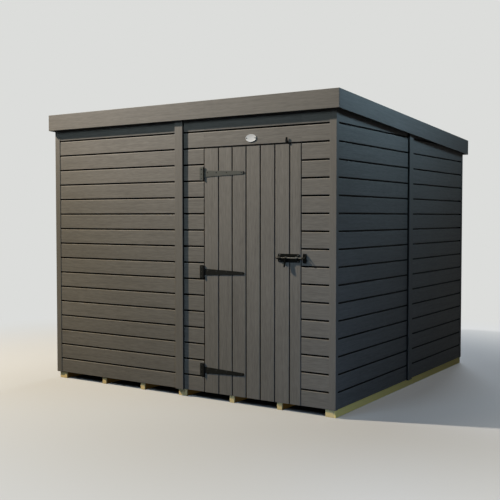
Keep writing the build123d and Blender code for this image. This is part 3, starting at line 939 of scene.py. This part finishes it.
def lay_floor(node, seed):
    """The boards of half the floor; the last one is cut to suit and has no tongue."""
    low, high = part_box(node)
    shape = bmesh.new()
    edge = low.y
    while edge < high.y - MM:
        over = min(edge + FLOOR_PITCH, high.y)
        last = over > high.y - MM
        foot = edge if edge == low.y else edge + FLOOR_JOINT["lap"]
        add_board(shape, FLOOR_JOINT, Vector((low.x, 0, high.z)), RIGHT, BACKWARDS, -UP,
                  high.x - low.x, foot, over, tongued=not last)
        edge = over
    finish_boards(shape, node + "_boards", node, floor_wood, FLOOR_JOINT, seed)


lay_floor("floor_left", seed=41)
lay_floor("floor_right", seed=42)

# %% [markdown]
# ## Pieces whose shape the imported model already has
# Battens, trims, fascias, timbers and steel fittings are right as they are, apart from their
# edges: nothing real has a perfectly sharp arris. A copy of the node's mesh is merged, its flat
# faces are joined up again, and the copy stands for the node. The radii are the real ones, from
# 0.4 mm on pressed steel to 2.5 mm on a cover batten. The deck keeps its sawn edges.

# %% Rounded copies of nodes
WELD = 0.01 * MM
FLAT = math.radians(0.5)
TIMBER_HEART = (25 * MM, 70 * MM)
SIDES = ("front", "back", "right", "left")
BATTENS = [side + "_batten" for side in SIDES]
CORNERS = [f"corner_trim_{end}_{side}" for end in SIDES[:2] for side in SIDES[2:]]
FASCIAS = ["fascia_" + side for side in SIDES]
FRAMING = ("sole_plates", "top_plates", "front_studs", "right_studs", "left_studs", "back_studs",
           "door_head", "rafters", "door_ledge_bottom", "door_ledge_middle", "door_ledge_top",
           "door_brace_lower", "door_brace_upper")
HINGES = ("hinge_plates", "hinge_straps")
BOLT_AND_BUTTON = ("bolt_plate", "bolt_shaft", "bolt_lever", "bolt_keep", "turn_button")
# nodes, finish, radius, segments, reach of the grain's heart (None without a grain), first seed
ROUNDED = (
    (BATTENS, batten_composite, 2.5 * MM, 3, COMPOSITE_HEART, 50),
    (CORNERS, trim_composite, 1 * MM, 2, COMPOSITE_HEART, 60),
    (FASCIAS, fascia_composite, 2 * MM, 3, COMPOSITE_HEART, 70),
    (FRAMING, planed, 1.5 * MM, 2, TIMBER_HEART, 80),
    (("bearers",), treated, 1.5 * MM, 2, TIMBER_HEART, 100),
    (HINGES, hinge_coat, 0.4 * MM, 2, None, 0),
    (BOLT_AND_BUTTON, bolt_coat, 0.4 * MM, 2, None, 0),
    (("roof_covering",), membrane, 1 * MM, 2, None, 0),
    (("roof_deck",), strand_board, 0, 2, None, 0),
)


def rounded_copy(node, material, rounding, segments, heart_reach, seed):
    """A copy of a node with rounded arrises, in its place."""
    shape = bmesh.new()
    shape.from_mesh(frame["nodes"][node].data)
    bmesh.ops.remove_doubles(shape, verts=shape.verts, dist=WELD)
    bmesh.ops.dissolve_limit(shape, angle_limit=FLAT, verts=shape.verts, edges=shape.edges)
    if heart_reach:
        mark_grain(shape, seed, heart_reach)
    name = node + "_rounded"
    print_solids(name, shape)
    return finish_piece(shape, name, material, body_of(node), node, rounding,
                        segments)


for nodes, material, rounding, segments, heart_reach, first_seed in ROUNDED:
    for seed, node in enumerate(nodes, first_seed):
        rounded_copy(node, material, rounding, segments, heart_reach, seed)

# %% [markdown]
# ## Screws
# The hinges, the bolt and the oval plate are held by countersunk screws. One screw head is made:
# a profile of a few points is spun round, and a cross is cut in its top by a Boolean. Every other
# head is a copy of that mesh, turned to its face and merged with its neighbours in one piece.

# %% Screw heads
HEAD_RADIUS = 4.6 * MM
HEAD_RISE = 1.2 * MM
HEAD_SINK = 0.5 * MM
HEAD_STEPS = 20
CROSS_WIDTH = 1.3 * MM
CROSS_LENGTH = 5 * MM
CROSS_HEIGHT = 2 * HEAD_RISE
CROSS_MIDDLE = 1.35 * HEAD_RISE
MOST_TURN = 1.5  # radians


def screw_head():
    """One head, its seat at z = 0 and its axis up."""
    shape = bmesh.new()
    profile = [(0, -HEAD_SINK), (HEAD_RADIUS, -HEAD_SINK), (HEAD_RADIUS, 0.3 * HEAD_RISE),
               (0.72 * HEAD_RADIUS, 0.85 * HEAD_RISE), (0, HEAD_RISE)]
    verts = [shape.verts.new((x, 0, z)) for x, z in profile]
    edges = [shape.edges.new(pair) for pair in zip(verts[:-1], verts[1:])]
    bmesh.ops.spin(shape, geom=verts + edges, axis=(0, 0, 1), cent=(0, 0, 0), steps=HEAD_STEPS,
                   angle=math.tau, use_merge=True)
    bmesh.ops.remove_doubles(shape, verts=shape.verts, dist=WELD)
    bmesh.ops.recalc_face_normals(shape, faces=shape.faces)
    cutter = bmesh.new()
    for turn in (0, math.pi / 2):
        made = bmesh.ops.create_cube(cutter, size=1)
        bmesh.ops.scale(cutter, vec=(CROSS_LENGTH, CROSS_WIDTH, CROSS_HEIGHT), verts=made["verts"])
        bmesh.ops.rotate(cutter, matrix=Matrix.Rotation(turn, 3, "Z"), verts=made["verts"])
        bmesh.ops.translate(cutter, vec=(0, 0, CROSS_MIDDLE), verts=made["verts"])
    items = []
    for name, form in (("screw head blank", shape), ("cross cutter", cutter)):
        mesh = bpy.data.meshes.new(name)
        form.to_mesh(mesh)
        form.free()
        items.append(bpy.data.objects.new(name, mesh))
        bpy.context.scene.collection.objects.link(items[-1])
    blank, cross = items
    cut = blank.modifiers.new("cross", "BOOLEAN")
    cut.operation = "DIFFERENCE"
    cut.object = cross
    cut.use_self = True
    bpy.context.view_layer.update()
    depsgraph = bpy.context.evaluated_depsgraph_get()
    done = bpy.data.meshes.new_from_object(blank.evaluated_get(depsgraph))
    for item in items:
        bpy.data.objects.remove(item)
    return done


def place_screws(name, points, material, body, scale=1.0, seed=0):
    """Screw heads that face the front, each turned by a chance amount about its own axis."""
    draw = random.Random(seed)
    facing = Vector((0, -1, 0)).to_track_quat("Z", "Y").to_matrix()
    shape = bmesh.new()
    for point in points:
        count = len(shape.verts)
        shape.from_mesh(head_mesh)
        shape.verts.ensure_lookup_table()
        turn = facing @ Matrix.Rotation(draw.uniform(0, MOST_TURN), 3, "Z")
        place = Matrix.Translation(point) @ turn.to_4x4() @ Matrix.Scale(scale, 4)
        bmesh.ops.transform(shape, matrix=place, verts=shape.verts[count:])
    print(name, len(points), "screws")
    return finish_piece(shape, name, material, body, rounding=0)


head_mesh = screw_head()
print("screw head:", len(head_mesh.polygons), "faces")

# %% [markdown]
# ## Where the screws go
# Three hold each hinge's plate and four its strap, one of them near the tip. The bolt's plate has
# one near each corner and its keep has two. Their places are set from the nodes they hold, so they
# stay on the metal. A node that holds three hinges is measured one hinge at a time.

# %% Screws of the hinges
HINGE_PLATE_SCREW_X = 15 * MM
HINGE_PLATE_SCREW_RISES = (32 * MM, 0, -31 * MM)
# along the strap, and above its middle
STRAP_SCREWS = ((35 * MM, 8 * MM), (107 * MM, 5.5 * MM), (191 * MM, 3.5 * MM), (311 * MM, 1.5 * MM))


def parts_of(node):
    """The lowest and highest corner of each solid in a node, from the top down."""
    shape = bmesh.new()
    shape.from_mesh(frame["nodes"][node].data)
    bmesh.ops.remove_doubles(shape, verts=shape.verts, dist=WELD)
    boxes = []
    for faces in islands(shape):
        corners = [v.co.copy() for face in faces for v in face.verts]
        boxes.append((Vector(map(min, zip(*corners))), Vector(map(max, zip(*corners)))))
    shape.free()
    return sorted(boxes, key=lambda box: -box[0].z)


def hinge_points(node, offsets):
    """Points on each hinge part of a node, by their distance from its left end and its middle."""
    return [Vector((low.x + along, hinge_face, (low.z + high.z) / 2 + rise))
            for low, high in parts_of(node) for along, rise in offsets]


plate_screws = [(HINGE_PLATE_SCREW_X, rise) for rise in HINGE_PLATE_SCREW_RISES]
place_screws("hinge_plate_screws", hinge_points("hinge_plates", plate_screws), screw_steel,
             "shed", seed=1)
place_screws("hinge_strap_screws", hinge_points("hinge_straps", STRAP_SCREWS), screw_steel,
             "door", seed=2)

# %% Screws of the bolt and the turn button
SCREW_FROM_EDGE = 8 * MM
BOLT_SCREWS_FROM_ENDS = (15 * MM, 12 * MM)
KEEP_SCREW_X = 10 * MM
BUTTON_SCREW_RISE = 9 * MM

low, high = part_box("bolt_plate")
bolt_points = [Vector((x, bolt_face, z))
               for x in (low.x + BOLT_SCREWS_FROM_ENDS[0], high.x - BOLT_SCREWS_FROM_ENDS[1])
               for z in (low.z + SCREW_FROM_EDGE, high.z - SCREW_FROM_EDGE)]
place_screws("bolt_plate_screws", bolt_points, bolt_screw, "door", scale=0.8, seed=3)

low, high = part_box("bolt_keep")
keep_points = [Vector((low.x + KEEP_SCREW_X, bolt_face, z))
               for z in (low.z + SCREW_FROM_EDGE, high.z - SCREW_FROM_EDGE)]
place_screws("bolt_keep_screws", keep_points, screw_black, "shed", scale=0.9, seed=4)

low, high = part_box("turn_button")
button_points = [Vector(((low.x + high.x) / 2, low.y, low.z + BUTTON_SCREW_RISE))]
place_screws("turn_button_screw", button_points, screw_black, "button", scale=1.1, seed=5)

# %% [markdown]
# ## The oval plate over the door
# A stamped oval of aluminium, screwed at its two ends. It is left bare. A circle of vertices is
# stretched to the oval, extruded to its thickness, and the face is inset and dished a little, so
# that its rim catches the light.

# %% Oval plate
OVAL_X, OVAL_Z = 0.591, 1.772
OVAL_HALF = (41.5 * MM, 25 * MM)
OVAL_THICK = 4 * MM
OVAL_SIDES = 56
OVAL_RIM = 3 * MM
OVAL_DISH = 0.5 * MM
OVAL_SCREW_REACH = 33 * MM

shape = bmesh.new()
made = bmesh.ops.create_circle(shape, cap_ends=True, segments=OVAL_SIDES, radius=1)
bmesh.ops.scale(shape, vec=(*OVAL_HALF, 1), verts=made["verts"])
raised = bmesh.ops.extrude_face_region(shape, geom=shape.faces[:])
top = [g for g in raised["geom"] if isinstance(g, bmesh.types.BMFace)]
bmesh.ops.translate(shape, vec=(0, 0, OVAL_THICK), verts=[v for face in top for v in face.verts])
bmesh.ops.inset_region(shape, faces=top, thickness=OVAL_RIM, depth=-OVAL_DISH)
bmesh.ops.recalc_face_normals(shape, faces=shape.faces)
upright = Matrix.Rotation(math.pi / 2, 4, "X")
place = Matrix.Translation(Vector((OVAL_X, door_low.y, OVAL_Z))) @ upright
bmesh.ops.transform(shape, matrix=place, verts=shape.verts)
finish_piece(shape, "oval_plate", aluminium, "shed", rounding=0.5 * MM)
oval_points = [Vector((OVAL_X + side * OVAL_SCREW_REACH, door_low.y - OVAL_THICK, OVAL_Z))
               for side in (-1, 1)]
place_screws("oval_plate_screws", oval_points, screw_black, "shed", scale=0.8, seed=6)

# %% [markdown]
# ## Last measures
# The dressed shed's box is printed. The view transform is Standard, so that a colour renders
# about as it is written.

# %% Finish
bpy.context.scene.view_settings.view_transform = "Standard"
low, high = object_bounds()
print("pieces made:", len(pieces_made), "visual box:", [round(c, 3) for c in low],
      [round(c, 3) for c in high])
